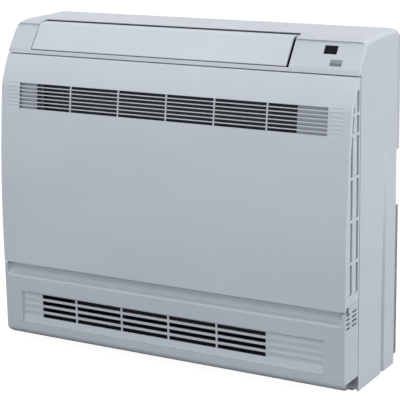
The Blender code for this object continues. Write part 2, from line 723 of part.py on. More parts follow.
def make_front_panel():
    """Hinged panel: curved face, upper grille and slotted sides with the hinge pins."""
    axis = pivot("panel_axis", HINGE_D, HINGE_Z)
    face = across("front_panel", panel_outline(PANEL_BOTTOM_Z, PANEL_TOP_Z, PANEL_STEPS), -PANEL_HALF,
                  PANEL_HALF, finish("panel_plastic", COOL_WHITE, 0.35))
    window = block("grille_window", (-GRILLE_HALF, GRILLE_HALF), (0.0, FRONT_SECTION),
                   (GRILLE_BOTTOM_Z, GRILLE_TOP_Z))
    combine(face, window, "DIFFERENCE")
    corner_in = CHEEK_IN - MOVE
    corners = blocks("cheek_room", [
        (span(sign, corner_in, HALF), (-WALL, 2 * WALL), (0.0, RETURN_BOTTOM_Z)) for sign in (-1, 1)])
    combine(face, corners, "DIFFERENCE")
    hang(face, axis)
    hang(make_upper_grille(), axis)
    mirrored(lambda side, sign: hang(make_side_grille(side, sign), axis))
    mirrored(make_hinge)
    mirrored(make_catch)


def make_upper_grille():
    """Slotted part of the front panel."""
    half = GRILLE_HALF - FIT
    outline = panel_outline(GRILLE_BOTTOM_Z + FIT, GRILLE_TOP_Z - FIT, GRILLE_STEPS)
    grille = across("upper_grille", outline, -half, half, finish("upper_grille_plastic", COOL_WHITE, 0.35))
    ribs = evenly(INTAKE_LEFT + INTAKE_FIRST_BAY, RIB_PITCH, INTAKE_RIGHT)
    boxes = []
    for row in range(INTAKE_ROWS):
        z = INTAKE_MIDDLE_Z + (row - (INTAKE_ROWS - 1) / 2) * INTAKE_PITCH
        slot = (z - INTAKE_SLOT / 2, z + INTAKE_SLOT / 2)
        for x in bays(INTAKE_LEFT, INTAKE_RIGHT, ribs, INTAKE_RIB_WIDTH):
            boxes.append((x, (0.0, FRONT_SECTION), slot))
    return combine(grille, blocks("upper_slots", boxes), "DIFFERENCE")


def make_side_grille(side, sign):
    """Slotted side of the front panel with its hinge pin."""
    rise = PANEL_TOP_Z - RETURN_BOTTOM_Z
    heights = [RETURN_BOTTOM_Z + rise * step / PANEL_STEPS for step in range(PANEL_STEPS + 1)]
    front = [(panel_front(z) + PANEL_WALL + FIT, z) for z in heights if
             panel_front(z) + PANEL_WALL + FIT < RETURN_BACK - FIT]
    outline = [*front, (RETURN_BACK, front[-1][1]), (RETURN_BACK, RETURN_BOTTOM_Z)]
    x = span(sign, CHEEK_IN, CHEEK_OUT)
    grille = across("side_grille_" + side, outline, x[0], x[1],
                    finish("side_grille_plastic_" + side, COOL_WHITE, 0.4))
    room = span(sign, CHEEK_IN - WALL, CHEEK_OUT + WALL)
    ribs = evenly(SIDE_FIRST_RIB_Z, SIDE_RIB_PITCH, SIDE_TOP_RIB_Z)
    edges = (SIDE_SLOT_BOTTOM_Z, *ribs, SIDE_TOP_RIB_Z, SIDE_SLOT_TOP_Z)
    boxes = []
    for column in SIDE_COLUMNS:
        for low, high in zip(edges[:-1], edges[1:]):
            z0 = low if low == edges[0] else low + SIDE_RIB_WIDTH / 2
            z1 = high if high == edges[-1] else high - SIDE_RIB_WIDTH / 2
            skin = panel_front(z1) + PANEL_WALL + FIT + SIDE_SLOT_EDGE
            if skin < column[1] - SIDE_SLOT_EDGE:
                boxes.append((room, (max(column[0], skin), column[1]), (z0, z1)))
    combine(grille, blocks("side_slots_" + side, boxes), "DIFFERENCE")
    reach = MOVE + HINGE_ARM + PIN_END
    pin = across("hinge_pin_" + side, ring(HINGE_D, HINGE_Z, PANEL_PIN_RADIUS),
                 *span(sign, CHEEK_IN - reach, CHEEK_IN + WALL / 2))
    return combine(grille, pin, "UNION")


def make_hinge(side, sign):
    """Arm from the frame to the eye round the panel's hinge pin."""
    x = span(sign, CHEEK_IN - MOVE - HINGE_ARM, CHEEK_IN - MOVE)
    back = FRONT_SECTION - FIT
    eye = arc((HINGE_D, HINGE_Z), HINGE_EYE, 90.0, 270.0, 2 * ARC_STEPS)
    outline = [*eye, (back, HINGE_Z - HINGE_EYE), (back, HINGE_Z + HINGE_EYE)]
    plastic = finish("hinge_plastic_" + side, COOL_WHITE, 0.5)
    arm = across("panel_hinge_" + side, outline, x[0], x[1], plastic)
    hole = across("eye_hole_" + side, ring(HINGE_D, HINGE_Z, PANEL_PIN_RADIUS + PIN_PLAY),
                  x[0] - WALL, x[1] + WALL)
    combine(arm, hole, "DIFFERENCE")


def make_catch(side, sign):
    """Catch on the frame that the closed panel rests against."""
    x = span(sign, HALF - CATCH_MARGIN - CATCH_SIZE / 2, HALF - CATCH_MARGIN + CATCH_SIZE / 2)
    low = CATCH_Z
    high = CATCH_Z + CATCH_SIZE
    outline = [(panel_front(low) + PANEL_WALL + FIT, low), (panel_front(high) + PANEL_WALL + FIT, high),
               (FRONT_SECTION - FIT, high), (FRONT_SECTION - FIT, low)]
    across("panel_catch_" + side, outline, x[0], x[1], finish("catch_plastic_" + side, COOL_WHITE, 0.5))


make_base_and_back()
make_sides()
make_strip()
make_head()
make_outlet()
make_flap()
make_frame()
make_coil()
make_lower_front()
make_front_panel()
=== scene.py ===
import math

import bmesh
import bpy
from mathutils import Matrix, Vector


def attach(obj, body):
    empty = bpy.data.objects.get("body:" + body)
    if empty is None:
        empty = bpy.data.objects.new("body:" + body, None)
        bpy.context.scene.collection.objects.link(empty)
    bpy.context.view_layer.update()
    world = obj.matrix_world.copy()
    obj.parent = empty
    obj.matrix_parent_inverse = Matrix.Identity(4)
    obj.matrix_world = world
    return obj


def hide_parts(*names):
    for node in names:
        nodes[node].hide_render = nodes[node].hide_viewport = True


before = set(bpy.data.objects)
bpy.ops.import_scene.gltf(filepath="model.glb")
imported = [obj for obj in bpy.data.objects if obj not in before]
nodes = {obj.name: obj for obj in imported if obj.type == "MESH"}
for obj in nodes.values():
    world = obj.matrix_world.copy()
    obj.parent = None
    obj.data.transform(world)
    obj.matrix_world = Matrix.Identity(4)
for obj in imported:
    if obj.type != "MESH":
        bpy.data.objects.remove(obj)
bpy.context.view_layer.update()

# Sizes of the casing, in metres, with d the depth behind the front plane
FRONT_Y = -0.1115
COARSE_STEP = 0.0004
FINE_STEP = 0.00012
HALF = 0.350
PANEL_HALF = 0.3492
CASING_BACK = 0.210
FRONT_SECTION = 0.0535
STRIP_BOTTOM = (0.044, 0.542)
STRIP_TOP = (0.0463, 0.5488)
SLOPE_BOTTOM = (0.047, 0.551)
CREASE = (0.0775, 0.5948)
LIP = (0.095, 0.5985)
STRIP_BULGE = (0.04535, 0.5458)
STRIP_ROLL = (0.0472, 0.5513)
SLOPE_STOPS = (0.0022, 0.010, 0.021, 0.0445)
LIP_START = (0.088, 0.59702)
OUTLET_REAR = (0.102, 0.59865)
TOP_RISE = ((0.1064, 0.5988), (0.128, 0.5992))
TOP_HEIGHT = 0.5994
TOP_BACK = ((0.182, 0.5998), (0.204, 0.6))
BACK_ROUNDING = 0.0024
BACK_STOPS = (0.0024, 0.0013, 0.0005, 0.0)
CREASE_RUN = 0.0036
COVER_CREASE_RUN = 0.0052
FLAP_FOOT = (0.0468, 0.5503)
FLAP_LIP = (0.0984, 0.5956)
FLAP_BEND = (0.088, 0.59521)
FLAP_STOPS = (0.0015, 0.010, 0.021, 0.034)
FLAP_THICKNESS = 0.0035
FLAP_GAPS = (0.0012, 0.0048)
OUTLET_LEFT = -0.300
OUTLET_RIGHT = 0.2225
CASING_WALL = 0.003
CASING_STOPS = (-0.330, -0.316, 0.231, 0.25, 0.322, 0.330)
COVER_EDGE = 0.0012
CORNERS = ((0.044, 0.0030, 0.0085), (0.058, 0.0036, 0.0065), (0.068, 0.0060, 0.0068),
           (0.0775, 0.0112, 0.0090), (0.090, 0.0138, 0.0098), (0.120, 0.0160, 0.0080),
           (0.160, 0.0178, 0.0066), (0.210, 0.0190, 0.0068))
CORNER_SPAN = 0.0191
CORNER_ANGLES = (12, 24, 36, 48, 60, 70, 80, 90)
CREASE_SEAM = (0.0482, 0.0489)
CREASE_SEAM_DEPTH = 0.0002
CREASE_SEAM_START = 0.008
SEAM = (0.1490, 0.1600, 0.1634)
SEAM_STATIONS = (0.1480, SEAM[0], 0.1545, 0.1590, SEAM[1], SEAM[2], 0.1645)
SEAM_STEPS = ((0.0, 0.0060), (0.10, 0.0052), (0.22, 0.0038), (0.32, 0.0025), (0.42, 0.0012), (0.47, 0.0))
FAINT_GROOVE = 0.00045

# Front panel
PANEL_BOTTOM = 0.1540
PANEL_TOP = 0.5402
PANEL_WALL = 0.0026
PANEL_EDGE = 0.0018
RETURN_BACK = 0.0528
RETURN_BOTTOM = 0.1625
EDGE_ANGLES = (18, 36, 54, 72)
EDGE_MARGIN = 0.0037
LINE_STEP = 0.0007
COLUMN_START = 0.0040
FRONT_COLUMN_BACK = 0.0250
FRONT_COLUMN_LEAST = 0.0045
REAR_COLUMN = (0.0340, 0.0486)
REAR_COLUMN_LEAST = 0.0070
EDGE_RADIUS = 0.003
BELLY_START = 0.200
BELLY_DEPTH = 0.01885
SHOULDER = 0.488
SHOULDER_SLOPE = 0.34
SHOULDER_RADIUS = 0.254
INTAKE_ROWS = 7
INTAKE_LOW = 0.4459
INTAKE_PITCH = 0.0068
INTAKE_SLOT = 0.0051
INTAKE_OPEN = (-0.2752, 0.2556)
INTAKE_RIBS = (-0.1962, -0.0955, 0.0022, 0.0968, 0.1972)
INTAKE_RIB = 0.0026
INTAKE_BAR = 0.0009
INTAKE_BLIND = ((-0.3080, -0.2752), (0.2556, 0.3075))
INTAKE_FAINT = ((-0.335, -0.3105), (0.310, 0.336))
SIDE_RIBS = (0.2345, 0.3058, 0.3771, 0.4484, 0.481)
SIDE_RIB = 0.005
SIDE_SLOTS = (0.180, 0.519)
TALL_SLOT = 0.492
SIDE_BACKING = 0.0032
BLIND_BACKING = 0.0072
EAR_OUTLINE = [(0.0024, 0.1558), (0.0128, 0.1558), (0.0128, 0.1645), (0.0024, 0.1645)]
EAR_SPAN = (0.3438, 0.3456)
BACKING_SHEET = 0.0012
BACKING_GAP = 0.0036
BLIND_MARGIN = (0.0060, 0.0015)
HINGE = (0.010, 0.170)
PIN_RADIUS = 0.003
PIN_LENGTH = 0.0128
PIN_INSET = 0.0081

# Lower front
COVE_RADIUS = 0.0195
COVE_DEPTH = 0.0165
COVE_BOTTOM = 0.132
COVE_EDGE = 0.0030
COVE_END = 0.0120
COVE_SHARES = (0.0, 0.12, 0.3, 0.55, 0.8, 1.0)
GAP_LINES = (0.1468, 0.1484)
GAP_HALF = (0.265, 0.269)
GAP_DEPTH = (0.0380, 0.0405)
LEDGE = 0.1616
CURL_RADIUS = 0.016
CURL_DEPTH = 0.026
CURL_TOP = 0.0280
CURL_SIDE = 0.012
CURL_EDGE = 0.006
LOWER_HALF = 0.3490
LOWER_EDGE = 0.003
COVE_HALF = 0.3420
PILLAR_GAP = 0.0006
PILLAR_TOP = 0.1524
PILLAR_LIP = 0.1508
PILLAR_SHEET = 0.0024
LOWER_WALL = 0.0028
LOWER_BACK = 0.0532
LOWER_LINE_STEP = 0.0008
WINDOW_X = (-0.3105, 0.3105)
WINDOW_Z = (0.040, 0.1012)
RECESS = 0.0028
SLOPE_TOP = 0.053
LOWER_ROWS = 4
LOWER_LOW = 0.0580
LOWER_PITCH = 0.0123
LOWER_SLOT = 0.0076
LOWER_OPEN = (-0.2662, 0.1997)
LOWER_RIBS = (-0.1905, -0.0925, 0.0055, 0.1035)
LOWER_RIB = 0.0036
LOWER_BLIND = ((-0.3065, -0.2710), (0.2050, 0.3065))
LOWER_BLIND_DEPTH = 0.0011
GRILLE_PLATE = 0.0026
GRILLE_GAP = 0.0003
GRILLE_BORDER = 0.002
GRILLE_TOP = 0.001
GRILLE_RIM = 0.0012
VENT_COLUMNS = ((0.0042, 0.0188), (0.0270, 0.0455))
VENT_STEP = 0.0135
VENT_ROWS = 4
VENT_LOW = 0.1234
VENT_PITCH = 0.0079
VENT_SLOT = 0.0032

# Control panel
WINDOW_CENTRE = 0.290
WINDOW_SIZE = (0.0235, 0.0158)
WINDOW_RISE = 0.0258
LABEL_CENTRE = 0.305
LABEL_SIZE = (0.0213, 0.0118)
LABEL_RISE = 0.0045
LENS_RECESS = 0.0007
LABEL_RECESS = 0.0003
PLATE_GAP = 0.0002
LENS_SIZE = (0.0231, 0.0154)
LENS_THICKNESS = 0.0012
LENS_CORNER = 0.0012
FILM_SIZE = (0.0209, 0.0114)
FILM_THICKNESS = 0.0008
FILM_CORNER = 0.0008


def spread(start, stop, count):
    """Evenly spaced numbers from start to stop, both included."""
    return [start + (stop - start) * step / count for step in range(count + 1)]


def lines(*groups, least=COARSE_STEP):
    """Sorted grid lines from several groups, the first of two that nearly touch kept."""
    kept = []
    for value in sorted(value for group in groups for value in group):
        if not kept or value - kept[-1] > least:
            kept.append(value)
    return kept


def inside(value, spans):
    """True if the value lies in one of the spans."""
    return any(low < value < high for low, high in spans)


def rows(low, pitch, height, count):
    """Spans of a stack of slots."""
    return [(low + pitch * row, low + pitch * row + height) for row in range(count)]


def bays(left, right, ribs, width):
    """Spans between the ribs, from left to right."""
    edges = [left]
    for rib in ribs:
        edges += [rib - width / 2, rib + width / 2]
    edges.append(right)
    return list(zip(edges[::2], edges[1::2]))


def flat(spans):
    """All ends of a list of spans."""
    return [end for span in spans for end in span]


def shell(name, us, vs, place, cell):
    """Closed shell over a grid: cell gives None where it is open, else its outer and inner depths."""
    work = bmesh.new()
    made = {}

    def corner(i, j, depth):
        """Vertex of a grid point at a depth, made once."""
        key = (i, j, depth)
        if key not in made:
            amount = depth(us[i], vs[j]) if callable(depth) else depth
            x, d, z = place(us[i], vs[j], amount)
            made[key] = work.verts.new((x, FRONT_Y + d, z))
        return made[key]

    def quad(*keys):
        """Face between four grid points, unless it has no area."""
        verts = [corner(*key) for key in keys]
        if len({tuple(round(value, 7) for value in vert.co) for vert in verts}) > 2:
            work.faces.new(verts)

    cells = {}
    for i in range(len(us) - 1):
        for j in range(len(vs) - 1):
            cells[i, j] = cell(i, j)
    for (i, j), depths in cells.items():
        if depths is None:
            continue
        outer, inner = depths
        ring = ((i, j), (i + 1, j), (i + 1, j + 1), (i, j + 1))
        quad(*[(*point, outer) for point in ring])
        quad(*[(*point, inner) for point in reversed(ring)])
        neighbours = ((i, j - 1), (i + 1, j), (i, j + 1), (i - 1, j))
        for side, other in enumerate(neighbours):
            start, end = ring[side], ring[(side + 1) % 4]
            beside = cells.get(other)
            if beside is None:
                quad((*end, outer), (*start, outer), (*start, inner), (*end, inner))
            elif other > (i, j):
                for mine, theirs in zip(depths, beside):
                    if mine != theirs:
                        quad((*end, mine), (*start, mine), (*start, theirs), (*end, theirs))
    bmesh.ops.remove_doubles(work, verts=work.verts, dist=1e-6)
    bmesh.ops.recalc_face_normals(work, faces=work.faces)
    return as_object(name, work)


def as_object(name, work):
    """Object made from a bmesh."""
    mesh = bpy.data.meshes.new(name)
    work.to_mesh(mesh)
    work.free()
    piece = bpy.data.objects.new(name, mesh)
    bpy.context.scene.collection.objects.link(piece)
    return piece


def soften(piece, width, segments=2, angle=32.0):
    """Rounded edges with smooth shading over them."""
    piece.data.shade_smooth()
    bevel = piece.modifiers.new("rounded edges", "BEVEL")
    bevel.width = width
    bevel.segments = segments
    bevel.limit_method = "ANGLE"
    bevel.angle_limit = math.radians(angle)
    bevel.use_clamp_overlap = False
    bevel.miter_outer = "MITER_ARC"
    weighted = piece.modifiers.new("face normals", "WEIGHTED_NORMAL")
    weighted.mode = "FACE_AREA"
    weighted.weight = 50
    return piece


def dress(piece, body, slot, material, *replaced):
    """Rides a piece on its body with its finish, in place of CAD nodes."""
    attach(piece, body)
    if replaced:
        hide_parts(*replaced)
    piece.data.materials.clear()
    piece.data.materials.append(material)
    return piece


def prism(name, outline, x0, x1):
    """Solid with a side view outline in (d, z) from x0 to x1."""
    work = bmesh.new()
    ends = []
    for x in (x0, x1):
        ends.append([work.verts.new((x, FRONT_Y + d, z)) for d, z in outline])
    work.faces.new(ends[0])
    work.faces.new(ends[1])
    for index in range(len(outline)):
        following = (index + 1) % len(outline)
        work.faces.new((ends[0][index], ends[0][following], ends[1][following], ends[1][index]))
    bmesh.ops.recalc_face_normals(work, faces=work.faces)
    return as_object(name, work)


# Materials
def new_material(name):
    """Material, its nodes, its links and its Principled shader."""
    material = bpy.data.materials.new(name)
    material.use_nodes = True
    tree = material.node_tree
    return material, tree, tree.nodes["Principled BSDF"]


def noise(tree, scale, detail=3.0, roughness=0.5, stretch=None):
    """Noise over object coordinates, stretched along an axis where asked."""
    coordinates = tree.nodes.new("ShaderNodeTexCoord")
    source = coordinates.outputs["Object"]
    if stretch:
        mapping = tree.nodes.new("ShaderNodeMapping")
        mapping.inputs["Scale"].default_value = stretch
        tree.links.new(source, mapping.inputs["Vector"])
        source = mapping.outputs["Vector"]
    texture = tree.nodes.new("ShaderNodeTexNoise")
    texture.inputs["Scale"].default_value = scale
    texture.inputs["Detail"].default_value = detail
    texture.inputs["Roughness"].default_value = roughness
    tree.links.new(source, texture.inputs["Vector"])
    return texture.outputs["Fac"]


def ramp(tree, source, low, high, start=0.3, end=0.7):
    """Colour ramp between two colours."""
    node = tree.nodes.new("ShaderNodeValToRGB")
    node.color_ramp.elements[0].position = start
    node.color_ramp.elements[1].position = end
    node.color_ramp.elements[0].color = (*low, 1.0)
    node.color_ramp.elements[1].color = (*high, 1.0)
    tree.links.new(source, node.inputs["Fac"])
    return node.outputs["Color"]


def bump(tree, shader, source, distance, strength=1.0):
    """Bump from a height, in metres."""
    node = tree.nodes.new("ShaderNodeBump")
    node.inputs["Distance"].default_value = distance
    node.inputs["Strength"].default_value = strength
    tree.links.new(source, node.inputs["Height"])
    tree.links.new(node.outputs["Normal"], shader.inputs["Normal"])


def grey(value):
    """Colour with three equal parts."""
    return (value, value, value)


def moulded_plastic(name, colour, roughness, grain=0.00003, variation=0.03):
    """Injection-moulded plastic: fine eroded grain, faint flow marks and a slightly uneven gloss."""
    material, tree, shader = new_material(name)
    light = tuple(min(part * (1 + variation), 1.0) for part in colour)
    dark = tuple(part * (1 - variation) for part in colour)
    flow = noise(tree, 3.5, 4.0, 0.55, (1.0, 1.0, 2.2))
    tree.links.new(ramp(tree, flow, dark, light), shader.inputs["Base Color"])
    gloss = noise(tree, 26.0, 5.0)
    tree.links.new(ramp(tree, gloss, grey(roughness - 0.05), grey(roughness + 0.07)),
                   shader.inputs["Roughness"])
    shader.inputs["Specular IOR Level"].default_value = 0.45
    bump(tree, shader, noise(tree, 1400.0, 2.0), grain, 0.6)
    return material


def rolled_metal(name, colour, roughness, along=(1.0, 1.0, 40.0)):
    """Sheet metal with fine rolling lines and faint spangle."""
    material, tree, shader = new_material(name)
    lines_height = noise(tree, 60.0, 4.0, 0.6, along)
    spangle = noise(tree, 90.0, 2.0)
    light = tuple(min(part * 1.12, 1.0) for part in colour)
    dark = tuple(part * 0.86 for part in colour)
    tree.links.new(ramp(tree, spangle, dark, light), shader.inputs["Base Color"])
    tree.links.new(ramp(tree, lines_height, grey(roughness - 0.08), grey(roughness + 0.1)),
                   shader.inputs["Roughness"])
    shader.inputs["Metallic"].default_value = 0.85
    bump(tree, shader, lines_height, 0.00004, 0.5)
    return material


def woven_mesh(name, colour):
    """Filter net of crossed threads, with painted shade in the holes between them."""
    material, tree, shader = new_material(name)
    coordinates = tree.nodes.new("ShaderNodeTexCoord")
    heights = []
    for axis in ("X", "Z"):
        wave = tree.nodes.new("ShaderNodeTexWave")
        wave.bands_direction = axis
        wave.inputs["Scale"].default_value = 170.0
        tree.links.new(coordinates.outputs["Object"], wave.inputs["Vector"])
        heights.append(wave.outputs["Fac"])
    crossing = tree.nodes.new("ShaderNodeMath")
    crossing.operation = "MAXIMUM"
    tree.links.new(heights[0], crossing.inputs[0])
    tree.links.new(heights[1], crossing.inputs[1])
    # Holes a quarter as bright as the threads: painted shade behind the net
    painted_hole_shade = tuple(part * 0.25 for part in colour)
    tree.links.new(ramp(tree, crossing.outputs["Value"], painted_hole_shade, colour, 0.55, 0.9),
                   shader.inputs["Base Color"])
    shader.inputs["Roughness"].default_value = 0.7
    bump(tree, shader, crossing.outputs["Value"], 0.0003, 0.8)
    return material


def fin_stack(name):
    """Aluminium fins seen edge on: narrow bright edges with painted shade, near black, in the gaps between
    them, with slight bends.
    """
    material, tree, shader = new_material(name)
    coordinates = tree.nodes.new("ShaderNodeTexCoord")
    wave = tree.nodes.new("ShaderNodeTexWave")
    wave.bands_direction = "X"
    wave.inputs["Scale"].default_value = 210.0
    wave.inputs["Distortion"].default_value = 0.25
    tree.links.new(coordinates.outputs["Object"], wave.inputs["Vector"])
    # The near-black end of the ramp is painted shade in the gaps between the fins
    tree.links.new(ramp(tree, wave.outputs["Fac"], grey(0.03), grey(0.62), 0.35, 0.8),
                   shader.inputs["Base Color"])
    shader.inputs["Metallic"].default_value = 0.9
    shader.inputs["Roughness"].default_value = 0.38
    bump(tree, shader, wave.outputs["Fac"], 0.0004, 1.0)
    return material


def smoked_window(name):
    """Dark infrared window: deep purple-black, glossy, with faint moulding waves."""
    material, tree, shader = new_material(name)
    waves = noise(tree, 120.0, 2.0)
    tree.links.new(ramp(tree, waves, (0.004, 0.005, 0.008), (0.009, 0.010, 0.016)),
                   shader.inputs["Base Color"])
    tree.links.new(ramp(tree, waves, grey(0.22), grey(0.30)), shader.inputs["Roughness"])
    shader.inputs["Specular IOR Level"].default_value = 0.06
    bump(tree, shader, waves, 0.00003, 0.4)
    return material


def printed_label(name):
    """Plain grey-blue film with a paler band across its middle."""
    material, tree, shader = new_material(name)
    coordinates = tree.nodes.new("ShaderNodeTexCoord")
    split = tree.nodes.new("ShaderNodeSeparateXYZ")
    tree.links.new(coordinates.outputs["Generated"], split.inputs["Vector"])
    band = ramp(tree, split.outputs["Z"], (0.11, 0.14, 0.19), (0.23, 0.27, 0.32), 0.40, 0.58)
    tree.links.new(band, shader.inputs["Base Color"])
    shader.inputs["Roughness"].default_value = 0.35
    bump(tree, shader, noise(tree, 900.0), 0.00002, 0.4)
    return material


CASING = moulded_plastic("casing_white_plastic", (0.590, 0.634, 0.680), 0.40)
PANEL = moulded_plastic("panel_white_plastic", (0.604, 0.656, 0.712), 0.42)
LOWER = moulded_plastic("lower_white_plastic", (0.556, 0.610, 0.668), 0.42)
FLAP = moulded_plastic("flap_white_plastic", (0.628, 0.680, 0.735), 0.36)
# Darker grey for the sheets behind the blind slots: painted shade for the shade inside those slots
PAINTED_SHADE_BACKING = moulded_plastic("backing_plastic", (0.42, 0.455, 0.49), 0.5)
FRAME = moulded_plastic("frame_plastic", (0.52, 0.56, 0.59), 0.5)
DUCT = moulded_plastic("duct_dark_plastic", (0.030, 0.036, 0.042), 0.55)
DARK = moulded_plastic("dark_plastic", (0.018, 0.020, 0.024), 0.6)
LENS = smoked_window("smoked_window")
LABEL = printed_label("grey_blue_label")
FILTER = woven_mesh("filter_net", (0.05, 0.06, 0.07))
FINS = fin_stack("aluminium_fins")
FOAM = moulded_plastic("pan_foam", (0.55, 0.57, 0.58), 0.8, 0.0002)
BARE_STEEL = rolled_metal("galvanised_steel", (0.42, 0.43, 0.44), 0.42)
DARK_STEEL = rolled_metal("dull_steel", (0.36, 0.365, 0.37), 0.5)
PAINTED_STEEL = moulded_plastic("pale_painted_steel", (0.50, 0.54, 0.58), 0.45)


# Front panel with its slotted sides
def panel_front(z):
    """Depth of the panel's outer face at a height, rounded at its top and bottom edges."""
    depth = 0.0
    if z > SHOULDER:
        above = z - SHOULDER
        depth = BELLY_DEPTH + SHOULDER_SLOPE * above + above ** 2 / (2 * SHOULDER_RADIUS)
    elif z > BELLY_START:
        depth = BELLY_DEPTH * ((z - BELLY_START) / (SHOULDER - BELLY_START)) ** 2
    for edge, sign in ((PANEL_TOP, 1), (PANEL_BOTTOM, -1)):
        past = PANEL_EDGE - sign * (edge - z)
        if past > 0:
            depth += PANEL_EDGE - math.sqrt(max(PANEL_EDGE ** 2 - past ** 2, 0.0))
    return depth


RETURN_LINES = ("start", "front_low", "front_high", "rear_low", "rear_high", "back")


def return_line(line, z):
    """Depth of a grid line on the panel's side at a height."""
    front = panel_front(z)
    radius = edge_radius(z)
    if line == "back":
        return RETURN_BACK
    wanted = {"start": front + radius, "front_low": front + radius + COLUMN_START}
    if z > TALL_SLOT:
        wanted["front_high"] = wanted["front_low"] + LINE_STEP
        wanted["rear_low"] = max(REAR_COLUMN[0], wanted["front_low"] + 2 * LINE_STEP)
    else:
        wanted["front_high"] = max(FRONT_COLUMN_BACK, wanted["front_low"] + FRONT_COLUMN_LEAST)
        wanted["rear_low"] = max(REAR_COLUMN[0], wanted["front_low"] + REAR_COLUMN_LEAST)
    wanted["rear_high"] = REAR_COLUMN[1]
    left = len(RETURN_LINES) - 1 - RETURN_LINES.index(line)
    return min(wanted[line], RETURN_BACK - LINE_STEP * left)


def edge_radius(z):
    """Radius of the panel's vertical edge, less where the face nears the casing."""
    return min(EDGE_RADIUS, RETURN_BACK - EDGE_MARGIN - panel_front(z))


def panel_point(station, z, depth):
    """Point of the panel on a plan station at a height."""
    kind, value, side = station
    front = panel_front(z)
    radius = edge_radius(z)
    if kind == "front":
        limit = PANEL_HALF - EDGE_RADIUS
        x = value
        if abs(value) >= limit - 1e-6:
            x = math.copysign(PANEL_HALF - radius, value)
        return (x, front + depth, z)
    if kind == "corner":
        angle = math.radians(value)
        x = PANEL_HALF - radius + (radius - depth) * math.sin(angle)
        return (side * x, front + radius - (radius - depth) * math.cos(angle), z)
    return (side * (PANEL_HALF - depth), return_line(value, z), z)


def wrap_stations(fronts, corner_angles, return_lines):
    """Plan stations from the left side's back edge round the front to the right side's."""
    left = [("return", line, -1) for line in reversed(return_lines)]
    left += [("corner", angle, -1) for angle in reversed(corner_angles)]
    right = [("corner", angle, 1) for angle in corner_angles]
    right += [("return", line, 1) for line in return_lines]
    return left + [("front", x, 0) for x in fronts] + right


def make_front_panel():
    """Curved panel whose edges turn back into slotted sides."""
    limit = PANEL_HALF - EDGE_RADIUS
    slots = bays(*INTAKE_OPEN, INTAKE_RIBS, INTAKE_RIB)
    fronts = lines([-limit, limit], flat(slots), flat(INTAKE_BLIND), flat(INTAKE_FAINT))
    us = wrap_stations(fronts, EDGE_ANGLES, RETURN_LINES)
    intake = rows(INTAKE_LOW, INTAKE_PITCH, INTAKE_SLOT, INTAKE_ROWS)
    ribs = [(z - SIDE_RIB / 2, z + SIDE_RIB / 2) for z in SIDE_RIBS]
    edges = [PANEL_EDGE * share for share in (0.0, 0.08, 0.3, 0.62, 1.0)]
    stops = [RETURN_BOTTOM, TALL_SLOT, TALL_SLOT + 0.0005, *SIDE_SLOTS, 0.509]
    vs = lines([PANEL_BOTTOM + edge for edge in edges], [PANEL_TOP - edge for edge in edges], stops,
               flat(intake), flat(ribs), spread(BELLY_START, 0.446, 14), spread(0.4955, 0.536, 6),
               least=FINE_STEP)

    def cell(i, j):
        """Outer and inner depths of a cell, or None where it is open."""
        z = (vs[j] + vs[j + 1]) / 2
        start, end = us[i], us[i + 1]
        if start[0] == end[0] == "return":
            names = {start[1], end[1]}
            if z < RETURN_BOTTOM:
                return None
            open_column = names in ({"front_low", "front_high"}, {"rear_low", "rear_high"})
            low, high = SIDE_SLOTS
            if open_column and low < z < high and not inside(z, ribs):
                if names == {"rear_low", "rear_high"} or z < TALL_SLOT:
                    return None
            return (0.0, PANEL_WALL)
        if start[0] == end[0] == "front" and inside(z, [(intake[0][0], intake[-1][1])]):
            x = (start[1] + end[1]) / 2
            if inside(x, slots):
                return None if inside(z, intake) else (INTAKE_BAR, PANEL_WALL)
            if not inside(z, intake):
                return (0.0, PANEL_WALL)
            if inside(x, INTAKE_BLIND):
                return None
            if inside(x, INTAKE_FAINT):
                return (FAINT_GROOVE, PANEL_WALL)
        return (0.0, PANEL_WALL)

    panel = shell("front_panel_shell", us, vs, panel_point, cell)
    soften(panel, 0.0003)
    dress(panel, "front_panel", "panel_plastic", PANEL, "front_panel", "upper_grille",
          "side_grille_left", "side_grille_right")


def make_hinge_pins():
    """Pins inside the panel's sides on which it tilts."""
    for side, sign in (("left", -1), ("right", 1)):
        work = bmesh.new()
        turn = Matrix.Rotation(math.radians(90), 4, "Y")
        place = Matrix.Translation((sign * (PANEL_HALF - PIN_INSET), FRONT_Y + HINGE[0], HINGE[1]))
        bmesh.ops.create_cone(work, cap_ends=True, segments=32, radius1=PIN_RADIUS, radius2=PIN_RADIUS,
                              depth=PIN_LENGTH, matrix=place @ turn)
        pin = as_object("hinge_pin_" + side, work)
        soften(pin, 0.0004)
        dress(pin, "front_panel", "panel_plastic", PANEL)


def make_backings():
    """Plain sheets behind the side slots and in the bottom corners, and sheets behind the blind slots whose
    darker grey is painted shade.
    """
    heights = [0.1765, 0.200, *spread(0.23, 0.47, 8), SHOULDER, *spread(0.494, 0.524, 5)]
    outline = [(panel_front(z) + BACKING_GAP, z) for z in heights]
    back = RETURN_BACK - 0.0002
    outline += [(back, heights[-1]), (back, heights[0])]
    for side, sign in (("left", -1), ("right", 1)):
        outer = sign * (PANEL_HALF - SIDE_BACKING)
        backing = prism("side_backing_" + side, outline, outer - sign * BACKING_SHEET, outer)
        dress(backing, "front_panel", "panel_plastic", PANEL)
        ear = prism("bottom_ear_" + side, EAR_OUTLINE, sign * EAR_SPAN[0], sign * EAR_SPAN[1])
        dress(ear, "front_panel", "panel_plastic", PANEL)
    heights = spread(INTAKE_LOW - 0.003, INTAKE_LOW + INTAKE_PITCH * INTAKE_ROWS + 0.001, 12)
    outline = [(panel_front(z) + BLIND_BACKING, z) for z in heights]
    outline += [(panel_front(z) + BLIND_BACKING + BACKING_SHEET, z) for z in reversed(heights)]
    for side, (left, right) in zip(("left", "right"), INTAKE_BLIND):
        backing = prism("blind_backing_" + side, outline, left - BLIND_MARGIN[0], right + BLIND_MARGIN[1])
        # The blind slots' sheets take the darker grey, painted shade for the shade in the slots
        dress(backing, "front_panel", "frame_plastic", PAINTED_SHADE_BACKING)


make_front_panel()
make_hinge_pins()
make_backings()


